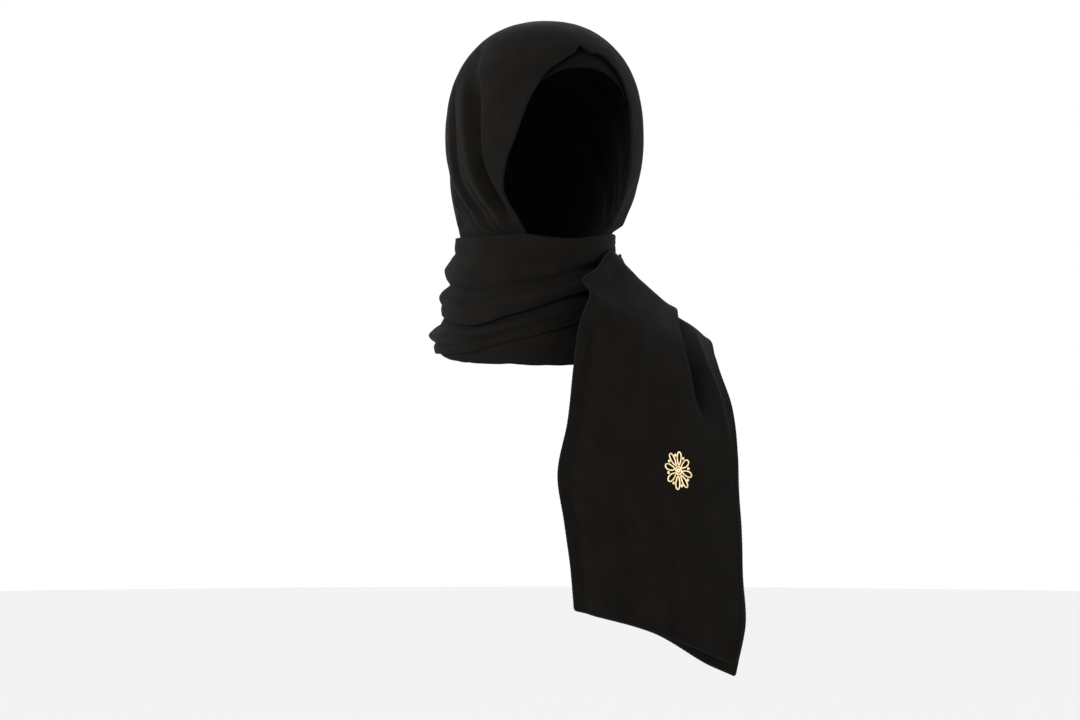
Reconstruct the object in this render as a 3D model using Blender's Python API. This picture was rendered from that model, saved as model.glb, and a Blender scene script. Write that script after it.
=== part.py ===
"""A wound headscarf in black georgette, worn: hood, inner cap band, three throat turns, shoulder fall and motif.

Metres, +Z up. The origin is the inner top of the crown. -Y is the front, and the hood is turned towards +X. Every
stretch of cloth is a surface worked out from the named sizes and tables below, given a wall.
"""

import bpy
import numpy as np

# The cloth
WALL = 0.0018
CAP_WALL = 0.0014
SEAM = 0.0004
MOTIF_RAISE = 0.0012

# The form that the hood is laid on: an egg with blunt sections, lengths from its middle
HALF_WIDTH = 0.095
HALF_LENGTH = 0.118
RISE = 0.118
DROP = 0.132
BLUNTNESS = 2.3
FORM_MIDDLE_Z = -0.1162
FORM_MIDDLE_X = -0.0015
FORM_TURN = np.radians(24)
NECK_LEAN = 0.84

# The line at the throat that every arch of the hood turns about (forward, up; in units of the egg)
HINGE_FORWARD = 0.57
HINGE_UP = -1.10
NAPE_TILT = 158.0
RIM_DROP = 0.022
RIM_TUCK = 0.0036

# The hood's front edge in degrees. Columns: turn from the top of the arch, tilt of the arch there
EDGE_ROWS = (
    (-150, 82.5),
    (-136, 85.1),
    (-127, 88.6),
    (-118, 90.2),
    (-108, 88.6),
    (-95, 85.7),
    (-80, 82.4),
    (-60, 81.4),
    (-36, 82.0),
    (-16, 82.8),
    (-6, 84.0),
    (0, 85.6),
    (5, 84.1),
    (16, 84.2),
    (30, 83.1),
    (42, 81.4),
    (54, 79.1),
    (72, 75.6),
    (93, 74.1),
    (112, 75.2),
    (130, 79.6),
    (150, 81.5),
)

# How far down each arch reaches on either side, in degrees. Columns: tilt of the arch, turn of its foot
FOOT_ROWS = ((74, 150), (100, 147), (120, 140), (140, 126), (150, 108), (158, 82))

# Creases of the hood. Columns: side (-1 is the viewer's left, 0 is both), the tilt of the crease's line at the five
# turns below, its depth, its half width in degrees, and the turns between which it shows
CREASE_TURNS = (45, 80, 105, 122, 140)
CREASE_ROWS = (
    (-1, 108, 103.2, 103, 95, 86, 0.0075, 4.2, 50, 132),
    (-1, 114, 109.8, 112, 108, 98, -0.0030, 4.5, 45, 150),
    (-1, 119, 118.2, 121.5, 117.5, 110, 0.0050, 4.0, 62, 150),
    (-1, 124, 125, 127, 125, 121, -0.0022, 4.0, 70, 150),
    (-1, 128, 129, 131.2, 131, 134, 0.0036, 3.6, 76, 150),
    (-1, 140, 141, 143, 145, 147, 0.0030, 4.2, 48, 150),
    (1, 106, 102, 103, 99, 92, 0.0055, 4.5, 55, 140),
    (1, 115, 111, 113, 109, 104, -0.0026, 4.6, 50, 150),
    (1, 124, 121, 124, 122, 118, 0.0046, 4.4, 60, 150),
    (1, 136, 134, 137, 138, 140, 0.0034, 4.2, 52, 150),
    (0, 147, 147, 147, 147, 147, 0.0022, 4.0, 0, 52),
)

# Gathers at the nape, where the throat turn binds the hood
GATHERS = 11
GATHER_DEPTH = 0.0034

# The cap band below the hood's top edge. Columns: turn, tilt of its front edge; then how far back it runs
CAP_EDGE_ROWS = ((-52, 82.6), (-36, 81.6), (-20, 81.0), (-3, 80.6), (12, 80.7), (28, 80.9), (40, 81.0), (54, 80.6))
CAP_BACK_TILT = 101.0

# Ovals of the throat's form. Columns: height, middle x and y, half width, half length to the front and to the
# back, turn in degrees
NECK_ROWS = (
    (-0.205, -0.0078, 0.0000, 0.0820, 0.0970, 0.0970, 24),
    (-0.218, -0.0086, 0.0006, 0.0803, 0.0945, 0.0948, 23),
    (-0.236, -0.0114, 0.0040, 0.0795, 0.0945, 0.0942, 18),
    (-0.258, -0.0140, 0.0090, 0.0820, 0.0985, 0.0950, 12),
    (-0.290, -0.0160, 0.0140, 0.0845, 0.1015, 0.0960, 6),
    (-0.318, -0.0170, 0.0180, 0.0890, 0.1050, 0.0980, 2),
    (-0.350, -0.0170, 0.0200, 0.0930, 0.1080, 0.1000, 0),
)

# Near the top the throat's cloth leans in. Columns: angle where it leans most, spread of the angle, how far
LEAN_ROWS = ((-22, 44, 0.0085), (84, 36, 0.0046), (-178, 44, 0.0010))
LEAN_HEIGHT = 0.040
LEAN_FROM = -0.214

# Where the throat turns bind the hood: the height they start at, the depth over which they take hold, and the room
# for the turn's own wall
BOUND_BELOW = -0.2015
BOUND_DEPTH = 0.0105
BOUND_INSET = 0.0041

# Edges of the throat turns. Columns: angle round the form (0 front, -90 viewer's left, -180 the nape, 90 viewer's
# right), heights of the upper turn's top and foot, of the lower turn's foot and of the foot of the layer under it
TURN_ROWS = (
    (-268, -0.2165, -0.2700, -0.2980, -0.3220),
    (-250, -0.2165, -0.2760, -0.3030, -0.3230),
    (-215, -0.2150, -0.2820, -0.3100, -0.3260),
    (-180, -0.2140, -0.2860, -0.3160, -0.3280),
    (-130, -0.2145, -0.2900, -0.3240, -0.3200),
    (-90, -0.2150, -0.2900, -0.3285, -0.3255),
    (-60, -0.2155, -0.2965, -0.3290, -0.3340),
    (-35, -0.2150, -0.3010, -0.3260, -0.3375),
    (-15, -0.2140, -0.2920, -0.3180, -0.3385),
    (5, -0.2175, -0.2830, -0.3110, -0.3400),
    (25, -0.2190, -0.2720, -0.3020, -0.3400),
    (45, -0.2160, -0.2640, -0.2930, -0.3380),
    (65, -0.2130, -0.2600, -0.2880, -0.3320),
    (86, -0.2135, -0.2600, -0.2880, -0.3250),
    (106, -0.2150, -0.2620, -0.2890, -0.3240),
)

# Where a turn closes on itself its first end goes in under its last: the first angle, over how far, how deep, and
# the angle and spread over which the hood makes room for it
FIRST_ANGLE = -268
CLOSING_ANGLE = 26
CLOSING_DEPTH = 0.0030
CLOSING_ROOM = (100, 26)
UPPER_TUCK = 0.010
LOWER_TUCK = 0.009

# Rolls and creases along a throat turn. Columns: where across it (0 top, 1 foot) at the viewer's left and at the
# front, the height of the roll at either, and its half width across
UPPER_ROLLS = (
    (0.44, 0.38, 0.0056, 0.0016, 0.20),
    (0.58, 0.60, -0.0036, -0.0020, 0.06),
    (0.76, 0.86, 0.0060, 0.0052, 0.15),
)
LOWER_ROLLS = ((0.62, 0.60, 0.0105, 0.0042, 0.30), (0.86, 0.80, -0.0020, 0.0, 0.06))

# The fall, which fans out from under the upper turn and comes over the shoulder, a row for each station. Columns:
# inner edge x, y, z, outer edge x, y, z, and how far its middle stands off the straight line between them
FALL_ROWS = (
    (-0.0106, 0.1199, -0.2925, -0.0106, 0.1212, -0.3000, 0.0005),
    (0.0313, 0.1020, -0.2640, 0.0327, 0.1115, -0.3090, 0.0020),
    (0.0600, 0.0570, -0.2420, 0.0780, 0.0830, -0.3170, 0.0030),
    (0.0755, 0.0180, -0.2310, 0.1180, 0.0640, -0.3180, 0.000),
    (0.0722, -0.0140, -0.2330, 0.1500, 0.0400, -0.3120, -0.006),
    (0.0640, -0.0480, -0.2290, 0.1650, 0.0120, -0.3160, -0.002),
    (0.0530, -0.0710, -0.2440, 0.1680, -0.0190, -0.3320, 0.006),
    (0.0460, -0.0985, -0.2700, 0.1730, -0.0400, -0.3500, 0.013),
    (0.0340, -0.1130, -0.3020, 0.1830, -0.0560, -0.3820, 0.017),
    (0.0280, -0.1190, -0.3450, 0.1875, -0.0680, -0.4220, 0.017),
    (0.0225, -0.1220, -0.3950, 0.1875, -0.0740, -0.4620, 0.016),
    (0.0130, -0.1240, -0.4440, 0.1895, -0.0780, -0.5040, 0.015),
    (0.0190, -0.1250, -0.4900, 0.1905, -0.0800, -0.5460, 0.015),
    (0.0250, -0.1240, -0.5340, 0.1930, -0.0830, -0.5900, 0.014),
    (0.0285, -0.1220, -0.5760, 0.1850, -0.0870, -0.6320, 0.013),
)
FIRST_STATION = -1
LAST_STATION = FIRST_STATION + len(FALL_ROWS) - 1
HEM_ARCH = 0.006

# The pleat at the throat, where the fall's inner edge is drawn out: its station, spread and reach
PLEAT_STATION = 5.6
PLEAT_SPREAD = 0.30
PLEAT_REACH = (-0.0135, -0.0085, -0.0010)

# Creases down the fall. Columns: place across it (0 inner, 1 outer) at the start and the end, the stations between
# which it shows, its depth and its half width across
FALL_CREASE_ROWS = (
    (0.67, 0.81, 3.2, 8.0, 0.0088, 0.048),
    (0.60, 0.73, 2.6, 7.6, -0.0026, 0.055),
    (0.20, 0.26, 4.6, 8.6, 0.0030, 0.080),
    (0.10, 0.05, 6.0, 13.0, 0.0035, 0.055),
    (0.46, 0.52, 5.2, 10.0, 0.0022, 0.090),
    (0.36, 0.40, 9.4, 13.6, 0.0030, 0.080),
    (0.62, 0.66, 10.0, 13.6, 0.0028, 0.080),
)

# The layer folded behind the fall: where it starts, how far behind it lies, and how far it passes hem and edge
UNDER_FROM = 0.46
UNDER_START = 5.6
UNDER_BEHIND = 0.0054
UNDER_BEHIND_SHOULDER = 0.0110
UNDER_PAST_HEM = 0.22
UNDER_PAST_EDGE = 0.018

# The motif: its middle on the fall, its petals and its half sizes
MOTIF_STATION = 9.1
MOTIF_ACROSS = 0.645
MOTIF_PETALS = 8
MOTIF_HALF_WIDTH = 0.0145
MOTIF_HALF_HEIGHT = 0.0180

BLACK = (0.012, 0.011, 0.010)
CAP_BLACK = (0.010, 0.011, 0.012)
GOLD_THREAD = (0.86, 0.62, 0.27)


def smooth(x):
    """0 below 0, 1 above 1, and a soft step between."""
    x = np.clip(x, 0, 1)
    return x * x * (3 - 2 * x)


def through(knots, values, at):
    """A smooth curve through the rows of a table: cubic, with each row's slope from its neighbours."""
    knots = np.asarray(knots, float)
    values = np.asarray(values, float)
    slopes = np.gradient(values, knots, axis=0)
    at = np.asarray(at, float)
    i = np.clip(np.searchsorted(knots, at) - 1, 0, len(knots) - 2)
    span = knots[i + 1] - knots[i]
    s = np.clip((at - knots[i]) / span, 0, 1)
    if values.ndim > 1:
        span, s = span[..., None], s[..., None]
    rise = values[i + 1] - values[i]
    bend = slopes[i] * span - rise
    turn = -slopes[i + 1] * span + rise
    return values[i] + s * rise + s * (1 - s) * (bend * (1 - s) + turn * s)


def table(rows):
    """A table's columns as arrays."""
    return np.asarray(rows, float).T


def on_form(direction):
    """A unit direction (lateral, forward, up) from the middle of the egg to the point of the form."""
    level = np.hypot(direction[..., 0], direction[..., 1]) + 1e-9
    power = 2 / BLUNTNESS
    reach = level**power
    up = np.sign(direction[..., 2]) * np.abs(direction[..., 2]) ** power
    z = FORM_MIDDLE_Z + np.where(up > 0, RISE, DROP) * up
    across = HALF_WIDTH * reach * direction[..., 0] / level
    forward = HALF_LENGTH * reach * direction[..., 1] / level
    lean = NECK_LEAN * np.clip(FORM_MIDDLE_Z - z, 0, None) ** 2
    x = FORM_MIDDLE_X - lean + across * np.cos(FORM_TURN) + forward * np.sin(FORM_TURN)
    y = across * np.sin(FORM_TURN) - forward * np.cos(FORM_TURN)
    return np.stack([x, y, z], -1)


def arch_point(turn, tilt):
    """The point at a turn (degrees from the top) of the arch cut by the plane at a tilt about the hinge line."""
    turn, tilt = np.radians(turn), np.radians(tilt)
    away = HINGE_UP * np.cos(tilt) - HINGE_FORWARD * np.sin(tilt)
    radius = np.sqrt(1 - away**2)
    forward = -away * np.sin(tilt) + radius * np.cos(turn) * np.cos(tilt)
    up = away * np.cos(tilt) + radius * np.cos(turn) * np.sin(tilt)
    return on_form(np.stack([radius * np.sin(turn), forward, up], -1))


def normals(surface, u, v, step=1e-4):
    """Unit normals of a surface of two parameters, by small differences."""
    along = surface(u + step, v) - surface(u - step, v)
    across = surface(u, v + step) - surface(u, v - step)
    normal = np.cross(along, across)
    return normal / np.linalg.norm(normal, axis=-1, keepdims=True)


def throat_oval(z):
    """Middle x and y, half width, half lengths to the front and back, and turn in radians of the oval at a height."""
    height, *columns = table(NECK_ROWS)
    middle_x, middle_y, width, front, back, turn = (through(height[::-1], c[::-1], z) for c in columns)
    return middle_x, middle_y, width, front, back, np.radians(turn)


def near(angle, at, spread):
    """A bell in the angle about one place, the short way round."""
    away = (angle - at + 180) % 360 - 180
    return np.exp(-((away / spread) ** 2))


def lean_in(angle, z):
    """How far the cloth leans in near the top of the throat turns."""
    near_top = 1 - smooth((LEAN_FROM - z) / LEAN_HEIGHT)
    leans = (depth * near(angle, at, spread) for at, spread, depth in LEAN_ROWS)
    return near_top * sum(leans)


def neck_point(angle, z, out):
    """The throat's form at an angle round it and a height, moved out."""
    middle_x, middle_y, width, front, back, turn = throat_oval(z)
    out = out - lean_in(angle, z)
    swing = np.radians(angle) - turn
    across = (width + out) * np.sin(swing)
    facing = np.cos(swing)
    forward = np.where(facing > 0, front + out, back + out) * facing
    x = middle_x + across * np.cos(turn) + forward * np.sin(turn)
    y = middle_y + across * np.sin(turn) - forward * np.cos(turn)
    return np.stack([x, y, z], -1)


def bind_in(point):
    """Points of the hood below the top of the throat turns, drawn in level by level to lie inside them."""
    middle_x, middle_y, width, front, back, turn = throat_oval(point[..., 2])
    x, y = point[..., 0] - middle_x, point[..., 1] - middle_y
    across = x * np.cos(turn) + y * np.sin(turn)
    forward = x * np.sin(turn) - y * np.cos(turn)
    angle = np.degrees(np.arctan2(x, -y))
    inset = BOUND_INSET + lean_in(angle, point[..., 2]) + CLOSING_DEPTH * near(angle, *CLOSING_ROOM)
    length = np.where(forward > 0, front, back)
    share = np.hypot(across / (width - inset), forward / (length - inset))
    keep = 1 - smooth((BOUND_BELOW - point[..., 2]) / BOUND_DEPTH) * (1 - 1 / np.maximum(share, 1))
    return np.stack([middle_x + x * keep, middle_y + y * keep, point[..., 2]], -1)


def hood_chart(a, b):
    """Turn and tilt in degrees at (a, b): a from foot to foot (-1 to 1), b from the front edge to the nape."""
    edge_turn, edge_tilt = table(EDGE_ROWS)
    foot_tilt, foot_turn = table(FOOT_ROWS)
    middle_tilt = 80 + (NAPE_TILT - 80) * b
    turn = a * through(foot_tilt, foot_turn, middle_tilt)
    front = through(edge_turn, edge_tilt, turn)
    return turn, front + (NAPE_TILT - front) * b


def crease_depth(turn, tilt):
    """Sum of the creases: each is a soft trough about its own line, fading in and out along it."""
    depth = np.zeros(np.broadcast(turn, tilt).shape)
    side_turn = np.abs(turn)
    for side, *tilts, deep, half_width, start, end in CREASE_ROWS:
        line = through(CREASE_TURNS, tilts, side_turn)
        shape = np.exp(-(((tilt - line) / half_width) ** 2))
        shows = smooth((side_turn - start) / 18) * smooth((end - side_turn) / 14)
        if side == 0:
            shows = smooth((end - side_turn) / 18)
        else:
            shows = shows * (np.sign(turn) == side)
        depth += deep * shape * shows
    gathers = 0.5 - 0.5 * np.cos(np.radians(turn) * GATHERS)
    depth += GATHER_DEPTH * gathers * smooth((tilt - 128) / 28)
    return depth


def hood_base(a, b):
    turn, tilt = hood_chart(a, b)
    return arch_point(turn, tilt)


def hood_point(a, b):
    """The hood: arches of the form with the creases pressed in and the rim bound inside the throat turns."""
    turn, tilt = hood_chart(a, b)
    foot = np.maximum(smooth((np.abs(a) - 0.86) / 0.14), smooth((b - 0.88) / 0.12))
    inwards = crease_depth(turn, tilt) + RIM_TUCK * foot
    point = arch_point(turn, tilt) - normals(hood_base, a, b) * inwards[..., None]
    point[..., 2] -= RIM_DROP * foot
    return bind_in(point)


def cap_point(a, b):
    """The cap band: the form drawn in under the hood, from its front edge back to CAP_BACK_TILT."""
    edge_turn, edge_tilt = table(CAP_EDGE_ROWS)
    turn = edge_turn[0] + (edge_turn[-1] - edge_turn[0]) * a
    front = through(edge_turn, edge_tilt, turn)
    tilt = front + (CAP_BACK_TILT - front) * b
    inner = 1 - (WALL + SEAM) / HALF_WIDTH
    middle = np.array([FORM_MIDDLE_X, 0, FORM_MIDDLE_Z])
    return middle + (arch_point(turn, tilt) - middle) * inner


def rolls(rows, angle, across):
    """Rolls along a turn: strong at the viewer's left, drawn out towards the throat and the nape."""
    left = np.exp(-(((angle + 100) / 52) ** 2))
    rise = np.zeros(np.broadcast(angle, across).shape)
    for at_left, at_front, up_left, up_front, half_width in rows:
        line = at_left * left + at_front * (1 - left)
        height = up_left * left + up_front * (1 - left)
        rise += height * np.exp(-(((across - line) / half_width) ** 2))
    return rise


def turn_edges(angle):
    """Heights of the four edges of the throat turns at an angle."""
    angles, *edges = table(TURN_ROWS)
    return [through(angles, edge, angle) for edge in edges]


def closing(angle):
    """How far a turn's first end goes in under its last."""
    return -CLOSING_DEPTH * (1 - smooth((angle - FIRST_ANGLE) / CLOSING_ANGLE))


def upper_point(angle, across):
    """The upper turn: rolls above, its foot rolled out over the turn below."""
    top, foot, _, _ = turn_edges(angle)
    z = top + (foot - top) * across
    out = rolls(UPPER_ROLLS, angle, across) + 0.0022 * smooth((across - 0.55) / 0.4)
    return neck_point(angle, z, out + closing(angle))


def lower_point(angle, across):
    """The lower turn: tucked under the upper one, then rolled out to its own foot."""
    _, top, foot, _ = turn_edges(angle)
    z = top + UPPER_TUCK + (foot - top - UPPER_TUCK) * across
    shown = smooth((top - z) / 0.012)
    out = -0.0006 + shown * (0.0016 + rolls(LOWER_ROLLS, angle, across))
    return neck_point(angle, z, out + closing(angle))


def under_point(angle, across):
    """The layer under the lower turn, seen only below its foot."""
    _, _, top, foot = turn_edges(angle)
    z = top + LOWER_TUCK + (foot - top - LOWER_TUCK) * across
    shown = smooth((top - z) / 0.014)
    return neck_point(angle, z, -0.0012 + 0.0008 * shown)


def fall_flat(station, across):
    """The fall without creases: straight from its inner to its outer edge, its middle standing off."""
    row = through(np.arange(FIRST_STATION, LAST_STATION + 1), FALL_ROWS, station)
    inner, outer, crown = row[..., 0:3], row[..., 3:6], row[..., 6]
    pleat = np.exp(-(((station - PLEAT_STATION) / PLEAT_SPREAD) ** 2))
    inner = inner + pleat[..., None] * np.array(PLEAT_REACH)
    point = inner + (outer - inner) * across[..., None]
    # The middle stands off towards the front on the chest, and upwards where the cloth lies on the shoulder
    lift = smooth((5.5 - station) / 2.0) * smooth((station - 1.0) / 1.5)
    bow = crown * 4 * across * (1 - across)
    point[..., 1] -= bow * (1 - lift)
    point[..., 2] += bow * lift
    hem = smooth((station - 10) / 3.0)
    point[..., 2] += HEM_ARCH * hem * np.sin(np.pi * across)
    return point


def fall_point(station, across):
    """The fall with its creases pressed in."""
    depth = np.zeros(np.broadcast(station, across).shape)
    for start_at, end_at, start, end, deep, half_width in FALL_CREASE_ROWS:
        share = np.clip((station - start) / (end - start), 0, 1)
        line = start_at + (end_at - start_at) * share
        fade = 1.2 if end < LAST_STATION else 0.01
        shows = smooth((station - start) / 1.2) * smooth((end - station) / fade)
        depth += deep * shows * np.exp(-(((across - line) / half_width) ** 2))
    return fall_flat(station, across) - normals(fall_flat, station, across) * depth[..., None]


def under_fall_point(station, across):
    """The folded layer: the fall's own points moved in by its wall, reaching a little past the hem and edge."""
    beyond = np.clip(station - LAST_STATION, 0, None) * smooth((across - UNDER_FROM) / 0.42)
    inside = np.minimum(station, LAST_STATION)
    hidden = 1 - smooth((station - UNDER_START) / 3)
    across = across - UNDER_PAST_EDGE * smooth((across - 0.9) / 0.1) * hidden
    kept = np.clip(across, 0, 1)
    edge = np.ones_like(across)
    base = fall_flat(inside, kept)
    down = (base - fall_flat(inside - 0.2, kept)) / 0.2
    out = (fall_flat(inside, edge) - fall_flat(inside, 0.97 * edge)) / 0.03
    base = base + down * beyond[..., None] + out * (across - kept)[..., None]
    behind = UNDER_BEHIND + UNDER_BEHIND_SHOULDER * smooth((9.6 - station) / 2.4)
    closed = 0.86 * smooth((across - 0.86) / 0.14)
    inset = (WALL + 2 * SEAM) * closed + behind * (1 - closed)
    return base - normals(fall_flat, inside, kept) * inset[..., None]


def motif_point(spoke, ring, out):
    """A point of the motif: an eight-petalled rosette laid on the fall and moved out from it."""
    lobes = 0.66 + 0.34 * np.abs(np.cos(MOTIF_PETALS / 2 * spoke))
    wide = MOTIF_HALF_WIDTH * lobes * ring * np.cos(spoke)
    high = MOTIF_HALF_HEIGHT * lobes * ring * np.sin(spoke)
    middle = fall_point(np.array(MOTIF_STATION), np.array(MOTIF_ACROSS))
    down = (fall_point(np.array(MOTIF_STATION + 0.1), np.array(MOTIF_ACROSS)) - middle) / 0.1
    side = (fall_point(np.array(MOTIF_STATION), np.array(MOTIF_ACROSS + 0.01)) - middle) / 0.01
    station = MOTIF_STATION - high / np.linalg.norm(down)
    across = MOTIF_ACROSS + wide / np.linalg.norm(side)
    return fall_point(station, across) + normals(fall_flat, station, across) * out


def grid(columns, rows, u_range, v_range):
    """Two parameter arrays on an even grid."""
    u = np.linspace(*u_range, columns + 1)
    v = np.linspace(*v_range, rows + 1)
    return np.meshgrid(u, v, indexing="ij")


def material(name, color, roughness, metallic=0.0):
    made = bpy.data.materials.new(name)
    made.use_nodes = True
    shader = made.node_tree.nodes["Principled BSDF"]
    shader.inputs["Base Color"].default_value = (*color, 1)
    shader.inputs["Roughness"].default_value = roughness
    shader.inputs["Metallic"].default_value = metallic
    made.diffuse_color = (*color, 1)
    return made


def add_object(name, points, faces, made_of):
    mesh = bpy.data.meshes.new(name)
    mesh.from_pydata(points.reshape(-1, 3).tolist(), [], faces)
    mesh.materials.append(made_of)
    mesh.shade_smooth()
    thing = bpy.data.objects.new(name, mesh)
    bpy.context.scene.collection.objects.link(thing)
    return thing


def cloth(name, points, made_of, wall, flip=False):
    """A grid of outer points made a sheet with a wall that grows inwards."""
    columns, rows = points.shape[:2]
    index = np.arange(columns * rows).reshape(columns, rows)
    quads = np.stack([index[:-1, :-1], index[1:, :-1], index[1:, 1:], index[:-1, 1:]], -1).reshape(-1, 4)
    if flip:
        quads = quads[:, ::-1]
    thing = add_object(name, points, quads.tolist(), made_of)
    solidify = thing.modifiers.new("wall", "SOLIDIFY")
    solidify.thickness = wall
    solidify.offset = -1
    solidify.use_even_offset = False
    return thing


def motif(made_of, spokes=48, rings=3):
    """The rosette: a top and a bottom fan of rings with a side round them."""
    spoke = np.linspace(0, 2 * np.pi, spokes, endpoint=False)[:, None]
    ring = np.linspace(0, 1, rings + 1)[None, 1:]
    layers = []
    for out in (SEAM, SEAM + MOTIF_RAISE):
        middle = motif_point(np.zeros((1, 1)), np.zeros((1, 1)), out)
        fan = motif_point(spoke + 0 * ring, ring + 0 * spoke, out)
        layers.append(np.concatenate([middle.reshape(1, 3), fan.reshape(-1, 3)]))
    size = len(layers[0])
    faces = []
    for s in range(spokes):
        t = (s + 1) % spokes
        near, far = 1 + s * rings, 1 + t * rings
        faces += [(0, far, near), (size, size + near, size + far)]
        for r in range(rings - 1):
            faces += [(near + r, far + r, far + r + 1, near + r + 1)]
            faces += [(size + near + r, size + near + r + 1, size + far + r + 1, size + far + r)]
        last = rings - 1
        faces += [(near + last, far + last, size + far + last, size + near + last)]
    return add_object("emblem", np.concatenate(layers), faces, made_of)


def build():
    black = material("black_georgette", BLACK, 0.85)
    cap_black = material("cap_jersey", CAP_BLACK, 0.8)
    gold = material("gold_thread", GOLD_THREAD, 0.45)

    cloth("hood", hood_point(*grid(56, 28, (-1, 1), (0, 1))), black, WALL)
    cloth("inner_cap", cap_point(*grid(20, 4, (0, 1), (0, 1))), cap_black, CAP_WALL)
    cloth("throat_turn_upper", upper_point(*grid(66, 9, (FIRST_ANGLE, 100), (0, 1))), black, WALL, True)
    cloth("throat_turn_lower", lower_point(*grid(60, 6, (FIRST_ANGLE + 2, 84), (0, 1))), black, WALL, True)
    cloth("throat_turn_under", under_point(*grid(30, 4, (-100, 76), (0, 1))), black, WALL, True)
    cloth("tail_front", fall_point(*grid(36, 20, (FIRST_STATION, LAST_STATION), (0, 1))), black, WALL)
    under = grid(24, 10, (UNDER_START, LAST_STATION + UNDER_PAST_HEM), (UNDER_FROM, 1 + UNDER_PAST_EDGE))
    cloth("tail_under", under_fall_point(*under), black, WALL)
    motif(gold)


for old in list(bpy.data.objects):
    bpy.data.objects.remove(old)
build()
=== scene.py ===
# %% [markdown]
# # A wound headscarf in black georgette
#
# The imported model gives plain walls of the right size. This lesson dresses them: each stretch of the scarf is
# made again as a fine sheet with its folds, turned edges, rolled hems and stitches, and gets a woven finish.
# The frame is loaded first.

# %% The frame
import math

import bpy
import mathutils
import numpy as np
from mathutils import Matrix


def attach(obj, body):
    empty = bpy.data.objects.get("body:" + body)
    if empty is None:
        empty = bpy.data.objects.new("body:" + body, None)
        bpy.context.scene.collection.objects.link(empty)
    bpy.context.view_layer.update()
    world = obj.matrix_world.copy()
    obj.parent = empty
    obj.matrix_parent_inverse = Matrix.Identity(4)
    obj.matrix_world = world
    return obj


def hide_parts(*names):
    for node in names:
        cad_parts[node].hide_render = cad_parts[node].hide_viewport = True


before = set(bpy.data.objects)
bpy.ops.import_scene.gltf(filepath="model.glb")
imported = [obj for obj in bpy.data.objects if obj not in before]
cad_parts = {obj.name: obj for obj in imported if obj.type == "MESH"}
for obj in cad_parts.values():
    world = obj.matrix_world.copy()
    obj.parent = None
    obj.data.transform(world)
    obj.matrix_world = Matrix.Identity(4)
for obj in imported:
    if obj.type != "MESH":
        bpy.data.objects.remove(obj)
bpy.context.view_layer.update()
print("solids:", sorted(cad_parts))

# %% [markdown]
# ## Small tools for shapes
#
# Every sheet here is a function of two parameters, worked out for a whole grid at once. Three helpers are used
# everywhere: a soft step, a smooth curve through the rows of a table, and a gentle noise for what is never quite
# even in cloth. The noise starts from one seed, so each run gives the same cloth.

# %% Soft step, curves through a table, and drift
LATTICE = np.random.default_rng(11).uniform(-1, 1, (64, 64))


def soft_step(x):
    """0 below 0 and 1 above 1, with the cubic 3x^2 - 2x^3 between."""
    x = np.clip(x, 0, 1)
    return x * x * (3 - 2 * x)


def through(knots, values, at):
    """A smooth curve through the rows of a table: a cubic in each span, its end slopes taken from the neighbours."""
    knots, values, at = (np.asarray(x, float) for x in (knots, values, at))
    slopes = np.gradient(values, knots, axis=0)
    i = np.clip(np.searchsorted(knots, at) - 1, 0, len(knots) - 2)
    span = knots[i + 1] - knots[i]
    s = np.clip((at - knots[i]) / span, 0, 1)
    if values.ndim > 1:
        span, s = span[..., None], s[..., None]
    rise = values[i + 1] - values[i]
    bend, turn = slopes[i] * span - rise, rise - slopes[i + 1] * span
    return values[i] + s * rise + s * (1 - s) * (bend * (1 - s) + turn * s)


def columns_of(rows):
    """A table's columns as arrays."""
    return np.asarray(rows, float).T


def drift(x, y, seed=0.0):
    """Noise from -1 to 1: random heights on a square lattice, blended by the soft step between its points."""
    x, y = np.broadcast_arrays(x + 11.37 * seed, y + 5.71 * seed)
    i, j = np.floor(x).astype(int), np.floor(y).astype(int)
    s, t = soft_step(x - i), soft_step(y - j)
    low = LATTICE[i % 64, j % 64] * (1 - s) + LATTICE[(i + 1) % 64, j % 64] * s
    high = LATTICE[i % 64, (j + 1) % 64] * (1 - s) + LATTICE[(i + 1) % 64, (j + 1) % 64] * s
    return low * (1 - t) + high * t


def fold(distance, before, after):
    """A fold's section: 1 on its line, falling as exp(-|d/w|^1.6), with its own width w on either side."""
    return np.exp(-(np.abs(distance / np.where(distance < 0, before, after)) ** 1.6))


print("drift runs from", round(float(LATTICE.min()), 2), "to", round(float(LATTICE.max()), 2))

# %% [markdown]
# ## From a surface to a sheet of cloth
#
# A sheet needs a wall, or its edge has no thickness and it can't be printed or simulated. The grid of outer points
# is copied inwards along its normals and the two are joined round the rim, which makes one closed body. The
# lengths along the grid are kept as a UV map in metres, so that the weave later follows the cloth round each fold.

# %% Sheets with a wall and a UV map in metres
WALL = 0.0011


def unit(vectors):
    """Each vector over its length."""
    return vectors / np.maximum(np.linalg.norm(vectors, axis=-1, keepdims=True), 1e-12)


def normals_of(surface, u, v, step=1e-4):
    """Unit normals: the cross product of the small differences along either parameter."""
    along = surface(u + step, v) - surface(u - step, v)
    across = surface(u, v + step) - surface(u, v - step)
    return unit(np.cross(along, across))


def lengths_along(points, axis):
    """The running length of each grid line along one axis, from 0."""
    steps = np.linalg.norm(np.diff(points, axis=axis), axis=-1)
    start = np.zeros_like(np.take(steps, [0], axis=axis))
    return np.concatenate([start, np.cumsum(steps, axis=axis)], axis=axis)


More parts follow.
